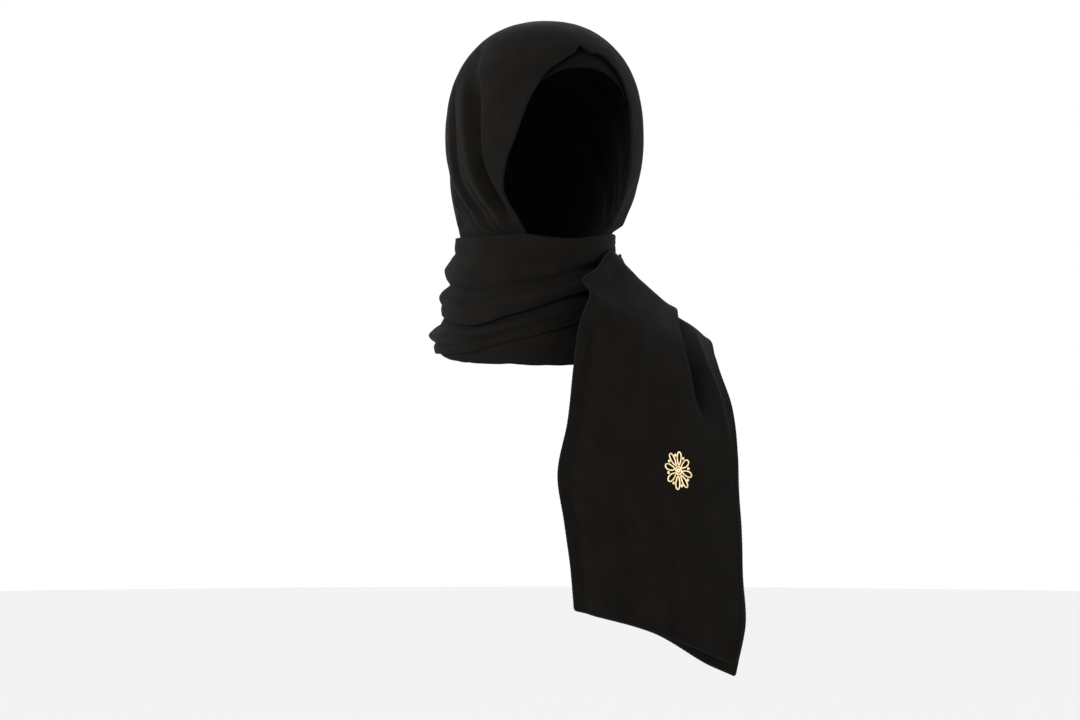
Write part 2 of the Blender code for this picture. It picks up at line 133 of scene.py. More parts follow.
def mesh_piece(name, points, faces, coordinates=None):
    """A named object at the origin from arrays of points and faces, with an optional UV pair for every point."""
    mesh = bpy.data.meshes.new(name)
    mesh.from_pydata(points.reshape(-1, 3).tolist(), [], faces)
    if coordinates is not None:
        corner = np.empty(len(mesh.loops), int)
        mesh.loops.foreach_get("vertex_index", corner)
        layer = mesh.uv_layers.new(name="cloth")
        layer.data.foreach_set("uv", coordinates.reshape(-1, 2)[corner].astype(np.float32).ravel())
    mesh.shade_smooth()
    piece = bpy.data.objects.new(name, mesh)
    bpy.context.scene.collection.objects.link(piece)
    return piece


def grid_quads(columns, rows, flip=False):
    """The quads of a grid of points, as an array of four indices each."""
    index = np.arange(columns * rows).reshape(columns, rows)
    quads = np.stack([index[:-1, :-1], index[1:, :-1], index[1:, 1:], index[:-1, 1:]], -1).reshape(-1, 4)
    return quads[:, ::-1] if flip else quads


def sheet_piece(name, surface, u, v, wall=WALL, flip=False):
    """A closed sheet: the surface on the grid of u and v, a copy one wall further in, and a rim that joins them."""
    u, v = np.meshgrid(u, v, indexing="ij")
    outer = surface(u, v)
    inner = outer - normals_of(surface, u, v) * (wall if not flip else -wall)
    columns, rows = u.shape
    size = columns * rows
    top = grid_quads(columns, rows, flip)
    index = np.arange(size).reshape(columns, rows)
    rim = np.concatenate([index[:, 0], index[-1, 1:], index[-2::-1, -1], index[0, -2:0:-1]])
    after = np.roll(rim, -1)
    side = np.stack([rim, rim + size, after + size, after], -1)
    side = side[:, ::-1] if flip else side
    faces = np.concatenate([top, top[:, ::-1] + size, side])
    uv = np.stack([lengths_along(outer, 0), lengths_along(outer, 1)], -1)
    piece = mesh_piece(name, np.concatenate([outer.reshape(-1, 3), inner.reshape(-1, 3)]), faces.tolist(),
                       np.concatenate([uv, uv]))
    piece["length"], piece["width"] = float(uv[..., 0].max(axis=0).mean()), float(uv[..., 1].max(axis=1).mean())
    print(f"{name}: {len(faces)} faces, {piece['length']:.3f} m by {piece['width']:.3f} m of cloth")
    return piece


def turned_under(surface, radius):
    """The surface with its cloth turned under past v = 0 and v = 1, where v goes on in metres: half a circle of that
    radius round the edge, then straight back beneath."""

    def turned(u, v):
        side = np.where(v > 0.5, 1.0, -1.0)
        past = np.clip(np.maximum(-v, v - 1), 0, None)
        swing = np.minimum(past / radius, math.pi)
        back = np.clip(past - math.pi * radius, 0, None)
        edge = np.clip(v, 0, 1)
        slope = np.linalg.norm(surface(u, edge + 1e-4) - surface(u, edge - 1e-4), axis=-1) / 2e-4
        under = np.where(past > 0, edge - side * back / slope, v)
        along = surface(u + 1e-4, under) - surface(u - 1e-4, under)
        across = surface(u, under + 1e-4) - surface(u, under - 1e-4)
        outwards = unit(np.cross(along, across)) * turned.facing
        reach = unit(across) * (side * radius * np.sin(swing))[..., None]
        drop = outwards * (radius * (1 - np.cos(swing)))[..., None]
        return surface(u, under) + reach - drop

    turned.facing = 1
    return turned


# %% [markdown]
# ## The hood
#
# The scarf is laid over the crown and bound at the throat, so every thread of it hangs in an arch from one side of
# the throat over the crown to the other. The form is an egg with blunt sections. The arches are its cuts by planes
# that all turn about one hinge line at the throat, which gives two natural parameters: the turn along an arch and
# the tilt of its plane. Folds run almost along the arches, so they are easy to write there.

# %% The form of the hood and its arches
HALF_WIDTH, HALF_LENGTH, RISE, DROP = 0.095, 0.118, 0.118, 0.132
BLUNTNESS = 2.3
FORM_MIDDLE_X, FORM_MIDDLE_Z = -0.0015, -0.1162
FORM_TURN = math.radians(24)
NECK_LEAN = 0.84
HINGE_FORWARD, HINGE_UP = 0.57, -1.10
NAPE_TILT = 158.0


def on_form(direction):
    """The form's point for a unit direction: each part raised to 2 over the bluntness and stretched to the egg."""
    level = np.hypot(direction[..., 0], direction[..., 1]) + 1e-9
    power = 2 / BLUNTNESS
    up = np.sign(direction[..., 2]) * np.abs(direction[..., 2]) ** power
    z = FORM_MIDDLE_Z + np.where(up > 0, RISE, DROP) * up
    across = HALF_WIDTH * level**power * direction[..., 0] / level
    forward = HALF_LENGTH * level**power * direction[..., 1] / level
    lean = NECK_LEAN * np.clip(FORM_MIDDLE_Z - z, 0, None) ** 2
    x = FORM_MIDDLE_X - lean + across * math.cos(FORM_TURN) + forward * math.sin(FORM_TURN)
    y = across * math.sin(FORM_TURN) - forward * math.cos(FORM_TURN)
    return np.stack([x, y, z], -1)


def arch_point(turn, tilt):
    """The point at a turn from the top of the arch that the plane at this tilt cuts from the form, in degrees."""
    turn, tilt = np.radians(turn), np.radians(tilt)
    away = HINGE_UP * np.cos(tilt) - HINGE_FORWARD * np.sin(tilt)
    radius = np.sqrt(1 - away**2)
    forward = -away * np.sin(tilt) + radius * np.cos(turn) * np.cos(tilt)
    up = away * np.cos(tilt) + radius * np.cos(turn) * np.sin(tilt)
    return on_form(np.stack([radius * np.sin(turn), forward, up], -1))


# %% [markdown]
# The hood runs down inside the throat turns, which bind it to the neck. So the neck's form is needed first: a stack
# of ovals, each with its own middle, widths and turn. Near its top it leans in, towards the throat and at one side.

# %% The neck form
# height, middle x, middle y, half width, half length to the front, to the back, turn
NECK_ROWS = (
    (-0.350, -0.0170, 0.0200, 0.0930, 0.1080, 0.1000, 0),
    (-0.318, -0.0170, 0.0180, 0.0890, 0.1050, 0.0980, 2),
    (-0.290, -0.0160, 0.0140, 0.0845, 0.1015, 0.0960, 6),
    (-0.258, -0.0140, 0.0090, 0.0820, 0.0985, 0.0950, 12),
    (-0.236, -0.0114, 0.0040, 0.0795, 0.0945, 0.0942, 18),
    (-0.218, -0.0086, 0.0006, 0.0803, 0.0945, 0.0948, 23),
    (-0.205, -0.0078, 0.0000, 0.0820, 0.0970, 0.0970, 24),
)


# angle where the top leans in most, spread of the angle, how far
LEAN_ROWS = ((-22, 44, 0.0085), (-68, 24, 0.0030), (84, 36, 0.0046), (-178, 44, 0.0010))
CLOSING_DEPTH = 0.0034


def neck_frame(z):
    """Middle, half sizes and turn (in radians) of the oval at a height."""
    height, *columns = columns_of(NECK_ROWS)
    mid_x, mid_y, width, front, back, turn = (through(height, column, z) for column in columns)
    return mid_x, mid_y, width, front, back, np.radians(turn)


def near(angle, at, spread):
    """A bell in the angle about one place, the short way round."""
    away = (angle - at + 180) % 360 - 180
    return np.exp(-((away / spread) ** 2))


def neck_lean(angle, z):
    """How far the cloth leans in near the top: most at the throat, less at the side of the fall and at the nape."""
    near_top = 1 - soft_step((-0.214 - z) / 0.040)
    return near_top * sum(depth * near(angle, at, spread) for at, spread, depth in LEAN_ROWS)


def neck_point(angle, z, out):
    """The oval at this height, grown by `out`, at an angle from the front: 90 is the side where the end falls."""
    mid_x, mid_y, width, front, back, turn = neck_frame(z)
    out = out - neck_lean(angle, z)
    swing = np.radians(angle) - turn
    across = (width + out) * np.sin(swing)
    facing = np.cos(swing)
    forward = np.where(facing > 0, front + out, back + out) * facing
    x = mid_x + across * np.cos(turn) + forward * np.sin(turn)
    y = mid_y + across * np.sin(turn) - forward * np.cos(turn)
    return np.stack([x, y, z], -1)


def bind_in(point, gap):
    """Below the top of the throat turns, points outside the oval less the gap are drawn in to it, level by level."""
    mid_x, mid_y, width, front, back, turn = neck_frame(point[..., 2])
    x, y = point[..., 0] - mid_x, point[..., 1] - mid_y
    across = x * np.cos(turn) + y * np.sin(turn)
    forward = x * np.sin(turn) - y * np.cos(turn)
    angle = np.degrees(np.arctan2(x, -y))
    inset = gap + neck_lean(angle, point[..., 2]) + CLOSING_DEPTH * near(angle, 100, 26)
    length = np.where(forward > 0, front, back)
    share = np.hypot(across / (width - inset), forward / (length - inset))
    bound = soft_step((-0.2015 - point[..., 2]) / 0.0105)
    keep = 1 - bound * (1 - 1 / np.maximum(share, 1))
    return np.stack([mid_x + x * keep, mid_y + y * keep, point[..., 2]], -1)


# %% [markdown]
# The front edge and the feet of the arches come from two short tables, in degrees. The folds come from a third: each
# follows the tilts given at five turns down the side, with its depth, its width towards the front and towards the
# back, and where it starts and ends. A negative depth is a ridge.

# %% Tables of the hood
# turn, tilt
EDGE_ROWS = (
    (-150, 82.5), (-136, 85.1), (-127, 88.6), (-118, 90.2), (-108, 88.6), (-95, 85.7), (-80, 82.4), (-60, 81.4),
    (-36, 82.0), (-16, 82.8), (-6, 84.0), (0, 85.6), (5, 84.1), (16, 84.2), (30, 83.1), (42, 81.4), (54, 79.1),
    (72, 75.6), (93, 74.1), (112, 75.2), (130, 79.6), (150, 81.5),
)
# tilt, turn of the foot
FOOT_ROWS = ((74, 150), (100, 147), (120, 140), (140, 126), (150, 108), (158, 82))
FOLD_TURNS = (45, 80, 105, 122, 140)
# side, tilts at the five turns, depth, width to the front, width to the back, start, end
HOOD_FOLD_ROWS = (
    (-1, 108.0, 103.2, 103.0, 96.0, 87.0, 0.0050, 3.0, 5.0, 30, 136),
    (-1, 106.0, 102.0, 102.2, 96.5, 88.5, 0.0092, 1.3, 2.8, 62, 138),
    (-1, 108.0, 104.0, 104.4, 99.2, 91.4, 0.0080, 2.2, 3.4, 92, 142),
    (-1, 114.0, 108.0, 108.6, 104.6, 97.5, -0.0050, 2.2, 5.0, 58, 150),
    (-1, 119.0, 118.2, 121.5, 117.5, 110.0, 0.0084, 1.3, 3.6, 56, 150),
    (-1, 124.0, 123.6, 126.0, 122.5, 116.0, -0.0028, 1.8, 3.2, 66, 150),
    (-1, 128.0, 129.0, 131.2, 129.0, 126.0, 0.0050, 1.3, 2.8, 66, 150),
    (-1, 113.0, 112.6, 114.6, 110.4, 102.5, 0.0014, 0.9, 1.2, 98, 150),
    (-1, 134.0, 135.5, 136.5, 137.0, 139.0, 0.0022, 1.0, 1.8, 80, 150),
    (-1, 140.0, 141.0, 143.0, 145.0, 147.0, 0.0038, 2.0, 4.4, 40, 150),
    (1, 106.0, 102.0, 103.0, 99.0, 92.0, 0.0062, 2.0, 4.6, 45, 142),
    (1, 112.0, 108.0, 110.0, 106.0, 101.0, -0.0030, 2.0, 4.6, 50, 150),
    (1, 122.0, 119.0, 122.0, 120.0, 116.0, 0.0056, 1.7, 4.2, 50, 150),
    (1, 130.0, 128.0, 130.0, 130.0, 129.0, 0.0020, 1.1, 1.6, 84, 150),
    (1, 136.0, 134.0, 137.0, 138.0, 140.0, 0.0044, 1.8, 3.8, 46, 150),
    (0, 147.0, 147.0, 147.0, 147.0, 147.0, 0.0022, 3.0, 4.0, 0, 52),
)
RIM_DROP, RIM_TUCK = 0.026, 0.0036


# %% The hood's chart, folds and surface
def hood_chart(a, b):
    """Turn and tilt for a from foot to foot (-1 to 1) and b from the front edge to the nape (0 to 1)."""
    edge_turn, edge_tilt = columns_of(EDGE_ROWS)
    foot_tilt, foot_turn = columns_of(FOOT_ROWS)
    turn = a * through(foot_tilt, foot_turn, 80 + (NAPE_TILT - 80) * b)
    front = through(edge_turn, edge_tilt, turn)
    return turn, front + (NAPE_TILT - front) * b


def hood_relief(turn, tilt):
    """How far the cloth is pressed in: the folds of the table, gathers at the nape and a slight unevenness."""
    side_turn = np.abs(turn)
    relief = np.zeros(np.broadcast(turn, tilt).shape)
    for number, (side, *tilts, depth, front, back, start, end) in enumerate(HOOD_FOLD_ROWS):
        line = through(FOLD_TURNS, tilts, side_turn) + 0.9 * drift(turn / 17, 0 * turn, number)
        shows = soft_step((end - side_turn) / 16)
        if side:
            shows = shows * soft_step((side_turn - start) / 22) * (np.sign(turn) == side)
        relief += depth * shows * fold(tilt - line, front, back)
    bunch = turn * 11 + 46 * drift(turn / 23, tilt / 40, 3)
    gathers = np.abs(np.sin(np.radians(bunch) / 2)) ** 1.4
    relief += 0.0056 * gathers * soft_step((tilt - 114) / 38) * (0.7 + 0.3 * drift(turn / 11, 0 * turn, 5))
    relief += 0.0010 * drift(turn / 26, tilt / 9, 1) * soft_step((side_turn - 30) / 50)
    relief += 0.0003 * drift(turn / 9, tilt / 3.1, 2)
    return relief


def hood_base(a, b):
    return arch_point(*hood_chart(a, b))


def hood_surface(a, b):
    """The arches pressed in by the relief along their normals, with the rim let down inside the throat turns."""
    turn, tilt = hood_chart(a, b)
    foot = np.maximum(soft_step((np.abs(a) - 0.86) / 0.14), soft_step((b - 0.88) / 0.12))
    bound = soft_step((np.abs(a) - 0.80) / 0.14)
    inwards = hood_relief(turn, tilt) * (1 - 0.7 * bound) + RIM_TUCK * foot
    point = arch_point(turn, tilt) - normals_of(hood_base, a, b) * inwards[..., None]
    point[..., 2] -= RIM_DROP * foot
    return bind_in(point, 0.0038)


EDGE_RADIUS = 0.0012
rows = np.concatenate([-np.linspace(0.014, 0, 12)[:-1], np.linspace(0, 1, 150) ** 1.1])
hood = sheet_piece("hood_cloth", turned_under(hood_surface, EDGE_RADIUS), np.linspace(-1, 1, 281), rows)

# %% [markdown]
# ## The cap band
#
# Under the scarf a close cap holds it in place, and only a crescent of it shows below the hood's top edge. It is the
# same form drawn in beneath the hood and its turned edge, and it ends in a soft folded band.

# %% The cap band
# turn, tilt of the front edge
CAP_EDGE_ROWS = ((-52, 82.6), (-36, 81.6), (-20, 81.0), (-3, 80.6), (12, 80.7), (28, 80.9), (40, 81.0), (54, 80.6))
CAP_BACK_TILT = 101.0
CAP_INSET = 0.0047


def cap_surface(a, b):
    """The form scaled towards its middle by the inset, from its own front edge back to one tilt, finely ribbed."""
    edge_turn, edge_tilt = columns_of(CAP_EDGE_ROWS)
    turn = edge_turn[0] + (edge_turn[-1] - edge_turn[0]) * a
    front = through(edge_turn, edge_tilt, turn)
    point = arch_point(turn, front + (CAP_BACK_TILT - front) * b)
    seam = 0.0007 * fold(b - 0.42, 0.05, 0.05) + 0.0002 * drift(turn / 5, b * 6, 8)
    middle = np.array([FORM_MIDDLE_X, 0, FORM_MIDDLE_Z])
    return middle + (point - middle) * (1 - (CAP_INSET + seam) / HALF_WIDTH)[..., None]


rows = np.concatenate([-np.linspace(0.008, 0, 8)[:-1], np.linspace(0, 1, 40)])
cap = sheet_piece("cap_band", turned_under(cap_surface, 0.0010), np.linspace(0, 1, 141), rows, 0.0009)

# %% [markdown]
# ## The throat turns
#
# Below the hood the scarf goes once round the neck and crosses itself, which leaves three layers, each showing below
# the one before. A turn is a band on the neck's ovals, given by an angle round them and a share of its height, and it
# is moved out where the cloth rolls. The rolls are fat at one side and are drawn out flat towards the throat.

# %% The edges of the turns and their rolls
# angle, top of the upper turn, foot of the upper, foot of the lower, foot of the layer under them
TURN_ROWS = (
    (-268, -0.2165, -0.2700, -0.2980, -0.3220), (-250, -0.2165, -0.2760, -0.3030, -0.3230),
    (-215, -0.2150, -0.2820, -0.3100, -0.3260), (-180, -0.2140, -0.2860, -0.3160, -0.3280),
    (-130, -0.2145, -0.2900, -0.3240, -0.3200), (-90, -0.2150, -0.2900, -0.3285, -0.3255),
    (-60, -0.2155, -0.2965, -0.3290, -0.3340), (-35, -0.2150, -0.3010, -0.3260, -0.3375),
    (-15, -0.2140, -0.2920, -0.3180, -0.3385), (5, -0.2175, -0.2830, -0.3110, -0.3400),
    (25, -0.2190, -0.2720, -0.3020, -0.3400), (45, -0.2160, -0.2640, -0.2930, -0.3380),
    (65, -0.2130, -0.2600, -0.2880, -0.3320), (86, -0.2135, -0.2600, -0.2880, -0.3250),
    (106, -0.2150, -0.2620, -0.2890, -0.3240),
)
# place across at the side and at the throat, height at the side and at the throat, width above, width below
UPPER_ROLL_ROWS = (
    (0.42, 0.34, 0.0064, 0.0022, 0.20, 0.15), (0.585, 0.60, -0.0064, -0.0030, 0.045, 0.06),
    (0.76, 0.84, 0.0066, 0.0062, 0.12, 0.16), (0.20, 0.16, -0.0024, -0.0008, 0.045, 0.07),
    (0.90, 0.74, -0.0018, -0.0012, 0.04, 0.03),
)
LOWER_ROLL_ROWS = (
    (0.62, 0.58, 0.0104, 0.0044, 0.24, 0.26), (0.44, 0.42, -0.0028, -0.0012, 0.05, 0.06),
    (0.82, 0.76, -0.0034, -0.0012, 0.05, 0.05),
)


def turn_edges(angle):
    angles, *edges = columns_of(TURN_ROWS)
    return [through(angles, edge, angle) for edge in edges]


def rolls(rows, angle, across, seed):
    """The sum of the rolls, each a fold section across the band that wanders a little along it."""
    at_side = np.exp(-(((angle + 100) / 52) ** 2))
    total = np.zeros(np.broadcast(angle, across).shape)
    for number, (side, throat, up_side, up_throat, above, below) in enumerate(rows):
        line = side * at_side + throat * (1 - at_side) + 0.035 * drift(angle / 31, 0 * angle, seed + number)
        height = (up_side * at_side + up_throat * (1 - at_side)) * (1 + 0.3 * drift(angle / 24, 0 * angle, 9 + number))
        total += height * fold(across - line, above, below)
    return total


def drag(angle, across, seed):
    """Fine drag lines that lean along the band: noise stretched twelve times along its length."""
    lean = across - angle / 260
    return 0.0007 * drift(angle / 60, lean * 9, seed) + 0.00035 * drift(angle / 22, lean * 21, seed + 3)


# %% The three throat layers
TUCK = 0.010


def overlap(angle):
    """Where a turn closes on itself, its first end goes in under its last."""
    return -CLOSING_DEPTH * (1 - soft_step((angle + 268) / 26))


def upper_surface(angle, across):
    """The upper turn: from its top edge to its foot, with its rolls, its drag lines and a fuller foot."""
    top, foot, _, _ = turn_edges(angle)
    quiet = soft_step(across / 0.10)
    out = rolls(UPPER_ROLL_ROWS, angle, across, 20) + drag(angle, across, 31) * quiet
    out = out * (0.2 + 0.8 * quiet) + 0.0030 * soft_step((across - 0.55) / 0.4) + overlap(angle)
    return neck_point(angle, top + (foot - top) * across, out)


def lower_surface(angle, across):
    """The lower turn: tucked beneath the upper one, then rolled out to its own foot."""
    _, top, foot, _ = turn_edges(angle)
    z = top + TUCK + (foot - top - TUCK) * across
    shown = soft_step((top - z) / 0.012)
    out = -0.0006 + shown * (0.0016 + rolls(LOWER_ROLL_ROWS, angle, across, 40) + drag(angle, across, 47))
    return neck_point(angle, z, out + overlap(angle))


def under_surface(angle, across):
    """The layer beneath: it lies close to the neck and shows only below the lower turn's foot."""
    _, _, top, foot = turn_edges(angle)
    z = top + 0.009 + (foot - top - 0.009) * across
    shown = soft_step((top - z) / 0.014)
    return neck_point(angle, z, -0.0012 + shown * (0.0008 + 1.2 * drag(angle, across, 53)))


def band_piece(name, surface, first, last, columns, rows):
    """A throat layer with both its long edges turned under. Its grid runs the other way round, so it is flipped."""
    turned = turned_under(surface, EDGE_RADIUS)
    turned.facing = -1
    ends = np.linspace(0.009, 0, 9)[:-1]
    across = np.concatenate([-ends, np.linspace(0, 1, rows), 1 + ends[::-1]])
    return sheet_piece(name, turned, np.linspace(first, last, columns), across, WALL, flip=True)


upper_turn = band_piece("throat_cloth_upper", upper_surface, -268, 102, 371, 64)
lower_turn = band_piece("throat_cloth_lower", lower_surface, -266, 86, 321, 40)
under_turn = band_piece("throat_cloth_under", under_surface, -100, 76, 161, 26)

# %% [markdown]
# ## The fall
#
# The free end fans out from under the upper turn, over one shoulder, and hangs in front. It is a ruled surface: at each station a
# straight line runs from the inner to the outer edge, and the middle stands off it. Folds are lines across the fall
# that move from one share of the width to another between two stations.

# %% The fall
# inner edge x, y, z; outer edge x, y, z; how far the middle stands off
FALL_ROWS = (
    (-0.0107, 0.1176, -0.2905, -0.0107, 0.1188, -0.2965, 0.0005),
    (0.0313, 0.1020, -0.2640, 0.0327, 0.1115, -0.3090, 0.0020),
    (0.0600, 0.0570, -0.2420, 0.0780, 0.0830, -0.3170, 0.0030),
    (0.0755, 0.0180, -0.2310, 0.1180, 0.0640, -0.3180, 0.000),
    (0.0722, -0.0140, -0.2330, 0.1500, 0.0400, -0.3120, -0.006),
    (0.0640, -0.0480, -0.2290, 0.1650, 0.0120, -0.3160, -0.002),
    (0.0530, -0.0710, -0.2440, 0.1680, -0.0190, -0.3320, 0.006),
    (0.0460, -0.0985, -0.2700, 0.1730, -0.0400, -0.3500, 0.013),
    (0.0340, -0.1130, -0.3020, 0.1830, -0.0560, -0.3820, 0.017),
    (0.0280, -0.1190, -0.3450, 0.1875, -0.0680, -0.4220, 0.017),
    (0.0225, -0.1220, -0.3950, 0.1875, -0.0740, -0.4620, 0.016),
    (0.0130, -0.1240, -0.4440, 0.1895, -0.0780, -0.5040, 0.015),
    (0.0190, -0.1250, -0.4900, 0.1905, -0.0800, -0.5460, 0.015),
    (0.0250, -0.1240, -0.5340, 0.1930, -0.0830, -0.5900, 0.014),
    (0.0285, -0.1220, -0.5760, 0.1850, -0.0870, -0.6320, 0.013),
)
FIRST = -1
LAST = FIRST + len(FALL_ROWS) - 1
HEM_ARCH = 0.006
# where the inner edge is drawn out into a pleat at the throat: its station, spread, share of the width and reach
PLEAT_STATION, PLEAT_SPREAD, PLEAT_WIDTH, PLEAT_REACH = 5.6, 0.30, 0.17, (-0.0135, -0.0085, -0.0010)
# share across at the start and the end, first and last station, depth, width to the inside, width to the outside
FALL_FOLD_ROWS = (
    (0.67, 0.80, 3.4, 8.0, 0.0125, 0.018, 0.085), (0.60, 0.74, 2.6, 7.8, -0.0028, 0.060, 0.026),
    (0.84, 0.95, 4.0, 8.4, -0.0026, 0.040, 0.018), (0.20, 0.26, 4.6, 8.6, 0.0030, 0.070, 0.080),
    (0.10, 0.05, 6.0, 14.0, 0.0035, 0.045, 0.055), (0.46, 0.52, 5.2, 10.0, 0.0022, 0.080, 0.090),
    (0.36, 0.40, 9.4, 14.5, 0.0030, 0.070, 0.080), (0.62, 0.66, 10.0, 14.5, 0.0028, 0.060, 0.080),
    (0.30, 0.20, -1.0, 3.4, 0.0034, 0.040, 0.050), (0.52, 0.42, -1.0, 3.6, 0.0040, 0.045, 0.055),
    (0.78, 0.62, -1.0, 3.8, 0.0034, 0.040, 0.050), (0.14, 0.10, 8.8, 14.0, -0.0014, 0.030, 0.030),
    (0.84, 0.80, 9.6, 14.5, 0.0014, 0.030, 0.040), (0.24, 0.28, 11.2, 14.5, -0.0012, 0.030, 0.030),
    (0.05, 0.02, 3.2, 6.8, -0.0030, 0.080, 0.045), (0.14, 0.09, 3.8, 8.0, 0.0022, 0.050, 0.090),
)


def fall_flat(station, across):
    """The ruled surface. On the chest its middle stands off to the front, and on the shoulder upwards."""
    row = through(np.arange(FIRST, LAST + 1), FALL_ROWS, station)
    inner, outer, crown = row[..., 0:3], row[..., 3:6], row[..., 6]
    pleat = np.exp(-(((station - PLEAT_STATION) / PLEAT_SPREAD) ** 2) - (across / PLEAT_WIDTH) ** 2)
    point = inner + (outer - inner) * across[..., None] + pleat[..., None] * np.array(PLEAT_REACH)
    lift = soft_step((5.5 - station) / 2.0) * soft_step((station - 1.0) / 1.5)
    bow = crown * 4 * across * (1 - across)
    point[..., 1] -= bow * (1 - lift)
    point[..., 2] += bow * lift + HEM_ARCH * soft_step((station - 10) / 3.0) * np.sin(np.pi * across)
    return point


def fall_relief(station, across):
    """Depth of the folds at a place on the fall, with a slight unevenness and a lazy wave at the hem."""
    depth = np.zeros(np.broadcast(station, across).shape)
    for number, (begins, ends, start, end, deep, inside, outside) in enumerate(FALL_FOLD_ROWS):
        share = np.clip((station - start) / (end - start), 0, 1)
        line = begins + (ends - begins) * share + 0.012 * drift(station / 1.7, 0 * station, 60 + number)
        shows = soft_step((station - start) / 1.2) * soft_step((end - station) / 1.2)
        depth += deep * shows * fold(across - line, inside, outside)
    depth += 0.0008 * drift(station / 2.4, across * 5.5, 71) + 0.00025 * drift(station * 1.6, across * 17, 72)
    depth += 0.0016 * soft_step((station - 11.5) / 1.5) * np.sin(across * 21 + 1.1)
    return depth


def fall_surface(station, across):
    """The ruled surface pressed in along its normals by the folds."""
    kept = np.clip(station, FIRST, LAST)
    inwards = fall_relief(kept, across)[..., None]
    return fall_flat(kept, across) - normals_of(fall_flat, kept, across) * inwards


fall = sheet_piece("fall_cloth", fall_surface, np.linspace(FIRST + 1e-3, LAST - 1e-3, 321), np.linspace(0, 1, 135))

# %% [markdown]
# The scarf is folded in two lengthwise before it is wound, so a second layer hangs behind the fall. It shows only
# where it passes the hem and the outer edge.

# %% The layer behind the fall
UNDER_FROM, UNDER_START = 0.46, 5.6
UNDER_BEHIND, UNDER_BEHIND_SHOULDER = 0.0054, 0.0110
UNDER_PAST_HEM, UNDER_PAST_EDGE = 0.22, 0.018


def behind_surface(station, across):
    """The fall's own points moved in, and carried on a little past its hem and its outer edge."""
    beyond = np.clip(station - LAST, 0, None) * soft_step((across - UNDER_FROM) / 0.42)
    inside = np.clip(station, 0, LAST)
    across = across - UNDER_PAST_EDGE * soft_step((across - 0.9) / 0.1) * (1 - soft_step((station - UNDER_START) / 3))
    kept = np.clip(across, 0, 1)
    edge = np.ones_like(across)
    base = fall_flat(inside, kept)
    down = (base - fall_flat(inside - 0.2, kept)) / 0.2
    out = (fall_flat(inside, edge) - fall_flat(inside, 0.97 * edge)) / 0.03
    base = base + down * beyond[..., None] + out * (across - kept)[..., None]
    behind = UNDER_BEHIND + UNDER_BEHIND_SHOULDER * soft_step((9.6 - station) / 2.4)
    closed = 0.86 * soft_step((across - 0.86) / 0.14)
    waves = 0.0006 * drift(station / 1.9, across * 8, 81) * (1 - closed)
    inset = 0.0026 * closed + behind * (1 - closed) + waves
    return base - normals_of(fall_flat, inside, kept) * inset[..., None]


behind = sheet_piece("fall_cloth_behind", behind_surface,
                     np.linspace(UNDER_START, LAST + UNDER_PAST_HEM, 161),
                     np.linspace(UNDER_FROM, 1 + UNDER_PAST_EDGE, 61), 0.0009)

# %% [markdown]
# ## Rolled hems
#
# Georgette is too fine for a flat hem. Its raw edge is rolled between finger and thumb into a cord about 2 mm thick,
# and small slanted stitches hold the roll. The hem is a flattened circle carried along the edge. The stitches are
# short capsules that cross it.

# %% Carrying a profile along a path
HEM_WIDTH, HEM_THICKNESS = 0.0027, 0.0021
STITCH_PITCH = 0.0042


def path_frame(path, facing):
    """Unit tangents of a path, and two unit vectors square to them: one near `facing`, one across."""
    tangent = unit(np.gradient(path, axis=0))
    up = unit(facing - tangent * np.sum(facing * tangent, -1, keepdims=True))
    return tangent, up, np.cross(tangent, up)


def cord_mesh(path, facing, width, thickness, sides=12, close=False):
    """Points and faces of a tube: at each place an oval of the given width and thickness. Open ends get a cap."""
    _, up, across = path_frame(path, facing)
    turn = np.linspace(0, 2 * np.pi, sides, endpoint=False)
    width, thickness = np.broadcast_to(width, len(path)), np.broadcast_to(thickness, len(path))
    ring = (np.cos(turn)[None, :, None] * (across * width[:, None] / 2)[:, None, :]
            + np.sin(turn)[None, :, None] * (up * thickness[:, None] / 2)[:, None, :])
    points = path[:, None, :] + ring
    count = len(path)
    index = np.arange(count * sides).reshape(count, sides)
    index = np.concatenate([index, index[:, :1]], 1)
    if close:
        index = np.concatenate([index, index[:1]], 0)
    quads = np.stack([index[:-1, :-1], index[:-1, 1:], index[1:, 1:], index[1:, :-1]], -1).reshape(-1, 4)[:, ::-1]
    faces = quads.tolist()
    if not close:
        faces += [index[0, :-1].tolist(), index[-1, -2::-1].tolist()]
    around = np.broadcast_to(turn / (2 * np.pi) * math.pi * HEM_WIDTH, (count, sides))
    along = np.broadcast_to(lengths_along(path, 0)[:, None], (count, sides))
    return points.reshape(-1, 3), faces, np.stack([along, around], -1).reshape(-1, 2)


def evenly(path, facing, pitch):
    """The path and its facing resampled at an even pitch."""
    length = lengths_along(path, 0)
    at = np.linspace(0, length[-1], max(3, int(length[-1] / pitch)))
    return tuple(np.stack([np.interp(at, length, x[:, k]) for k in range(3)], -1) for x in (path, facing))


def hem_piece(name, path, facing):
    """The rolled edge: a cord with a faint swelling between its stitches."""
    path, facing = evenly(path, facing, 0.0012)
    length = lengths_along(path, 0)
    swell = 1 + 0.07 * np.cos(2 * np.pi * length / STITCH_PITCH) + 0.05 * drift(length * 90, 0 * length, 91)
    points, faces, uv = cord_mesh(path, facing, HEM_WIDTH * swell, HEM_THICKNESS * swell)
    return mesh_piece(name, points, faces, uv)


